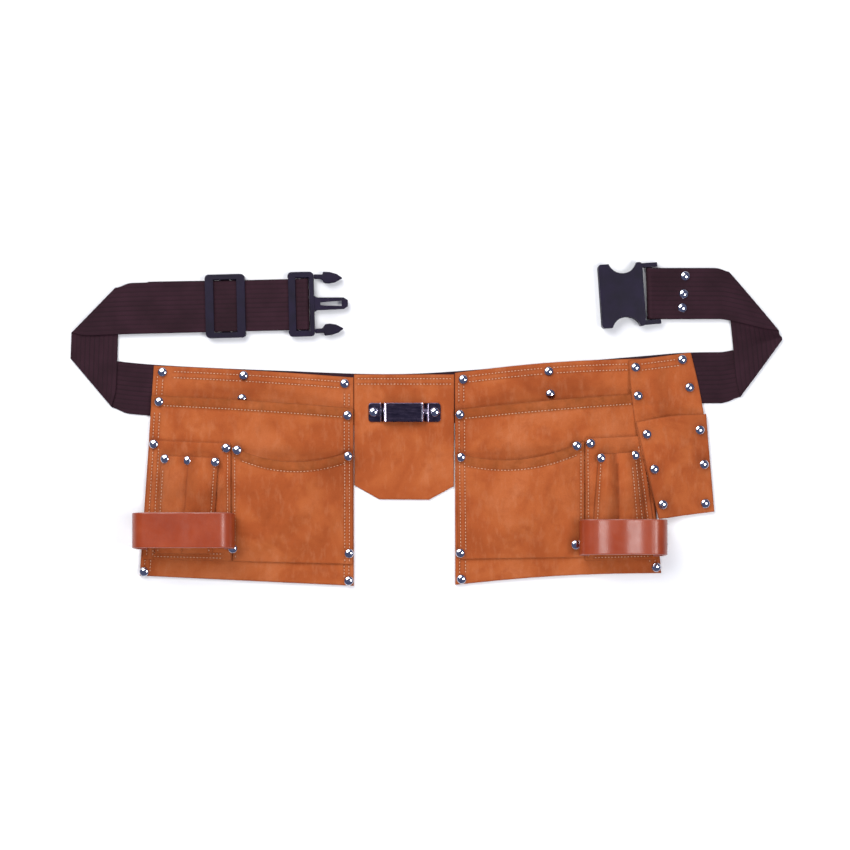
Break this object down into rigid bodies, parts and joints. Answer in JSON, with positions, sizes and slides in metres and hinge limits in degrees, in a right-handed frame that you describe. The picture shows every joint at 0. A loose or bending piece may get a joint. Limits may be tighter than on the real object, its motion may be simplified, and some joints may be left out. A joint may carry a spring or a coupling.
{
  "type": "tool belt",
  "caption": "Carpenter's tool belt with suede nail and tool pouches, hammer loops, pencil sleeves, a holster, a tape clip and webbing with a side-release buckle.",
  "frame": {"origin": "middle of the laid-out belt's outline, on the surface that it lies on", "axes": "+X along the belt to the wearer's left, +Y towards the belt's top edge, +Z out of the leather's face"},
  "size_m": [0.7028, 0.3164, 0.0453],
  "materials": {
    "suede": "napped suede with a soft sheen",
    "strap_leather": "smooth veg-tan, semi-gloss",
    "webbing": "ribbed woven webbing",
    "buckle_plastic": "satin moulded plastic",
    "rivet_chrome": "polished",
    "clip_steel": "dark nickel plate"
  },
  "bodies": {
    "centre": {"centre_panel": "suede", "centre_waist_web": "webbing", "tape_clip": "clip_steel", "clip_rivet_1": "rivet_chrome", "clip_rivet_2": "rivet_chrome"},
    "left_pouch": {"left_waist_web": "webbing", "left_back_panel": "suede", "left_main_pocket": "suede", "left_small_pocket": "suede", "left_tool_panel": "suede", "left_pencil_sleeve": "suede", "left_hammer_loop": "strap_leather", "left_pouch_rivet_1": "rivet_chrome", "left_pouch_rivet_2": "rivet_chrome", "left_pouch_rivet_3": "rivet_chrome", "left_pouch_rivet_4": "rivet_chrome", "left_pouch_rivet_5": "rivet_chrome", "left_pouch_rivet_6": "rivet_chrome", "left_pouch_rivet_7": "rivet_chrome", "left_pouch_rivet_8": "rivet_chrome", "left_pouch_rivet_9": "rivet_chrome", "left_pouch_rivet_10": "rivet_chrome", "left_pouch_rivet_11": "rivet_chrome", "left_pouch_rivet_12": "rivet_chrome", "left_pouch_rivet_13": "rivet_chrome", "left_pouch_rivet_14": "rivet_chrome"},
    "right_pouch": {"right_waist_web": "webbing", "right_back_panel": "suede", "right_main_pocket": "suede", "right_small_pocket": "suede", "right_tool_panel": "suede", "right_pencil_sleeve": "suede", "holster_back_flap": "suede", "holster_pocket": "suede", "right_hammer_loop": "strap_leather", "right_pouch_rivet_1": "rivet_chrome", "right_pouch_rivet_2": "rivet_chrome", "right_pouch_rivet_3": "rivet_chrome", "right_pouch_rivet_4": "rivet_chrome", "right_pouch_rivet_5": "rivet_chrome", "right_pouch_rivet_6": "rivet_chrome", "right_pouch_rivet_7": "rivet_chrome", "right_pouch_rivet_8": "rivet_chrome", "holster_rivet_1": "rivet_chrome", "holster_rivet_2": "rivet_chrome", "holster_rivet_3": "rivet_chrome", "holster_rivet_4": "rivet_chrome", "holster_rivet_5": "rivet_chrome"},
    "left_riser": {"left_riser_web": "webbing"},
    "left_strap": {"left_upper_web": "webbing"},
    "slider": {"strap_slider": "buckle_plastic"},
    "plug": {"male_buckle": "buckle_plastic"},
    "plug_upper_prong": {"upper_prong": "buckle_plastic"},
    "plug_lower_prong": {"lower_prong": "buckle_plastic"},
    "right_riser": {"right_riser_web": "webbing"},
    "right_strap": {"right_upper_web": "webbing", "strap_rivet_1": "rivet_chrome", "strap_rivet_2": "rivet_chrome", "strap_rivet_3": "rivet_chrome"},
    "socket": {"female_buckle": "buckle_plastic"}
  },
  "joints": [
    {"name": "left_wrap", "type": "hinge", "parent": "centre", "child": "left_pouch", "pos_m": [-0.06998, 0.02379, 0], "axis": [0, 1, 0], "range_deg": [-60, 0]},
    {"name": "right_wrap", "type": "hinge", "parent": "centre", "child": "right_pouch", "pos_m": [0.02872, 0.02629, 0], "axis": [0, 1, 0], "range_deg": [0, 60]},
    {"name": "left_lower_fold", "type": "hinge", "parent": "left_pouch", "child": "left_riser", "pos_m": [-0.32698, 0.03919, 0.00175], "axis": [0.6546, -0.7559, 0], "range_deg": [0, 178]},
    {"name": "left_upper_fold", "type": "hinge", "parent": "left_riser", "child": "left_strap", "pos_m": [-0.32468, 0.11179, 0.00365], "axis": [-0.7097, -0.7045, 0], "range_deg": [0, 178]},
    {"name": "slider_travel", "type": "slide", "parent": "left_strap", "child": "slider", "axis": [0.9997, 0.0244, 0], "range_m": [-0.05, 0.036]},
    {"name": "plug_pivot", "type": "hinge", "parent": "left_strap", "child": "plug", "pos_m": [-0.11725, 0.11686, 0.004], "axis": [-0.0244, 0.9997, 0], "range_deg": [0, 60]},
    {"name": "upper_prong_flex", "type": "hinge", "parent": "plug", "child": "plug_upper_prong", "pos_m": [-0.10859, 0.14348, 0.0055], "axis": [0, 0, 1], "range_deg": [-7, 0], "stiffness_Nm_per_rad": 0.4},
    {"name": "lower_prong_flex", "type": "hinge", "parent": "plug", "child": "plug_lower_prong", "pos_m": [-0.1073, 0.0907, 0.0055], "axis": [0, 0, 1], "range_deg": [0, 7], "stiffness_Nm_per_rad": 0.4},
    {"name": "right_lower_fold", "type": "hinge", "parent": "right_pouch", "child": "right_riser", "pos_m": [0.32882, 0.04479, 0.00175], "axis": [0.6757, 0.7372, 0], "range_deg": [0, 178]},
    {"name": "right_upper_fold", "type": "hinge", "parent": "right_riser", "child": "right_strap", "pos_m": [0.32162, 0.12729, 0.00365], "axis": [-0.7372, 0.6757, 0], "range_deg": [0, 178]},
    {"name": "socket_pivot", "type": "hinge", "parent": "right_strap", "child": "socket", "pos_m": [0.22132, 0.12729, 0.0043], "axis": [-0.0698, 0.9976, 0], "range_deg": [0, 60]}
  ]
}
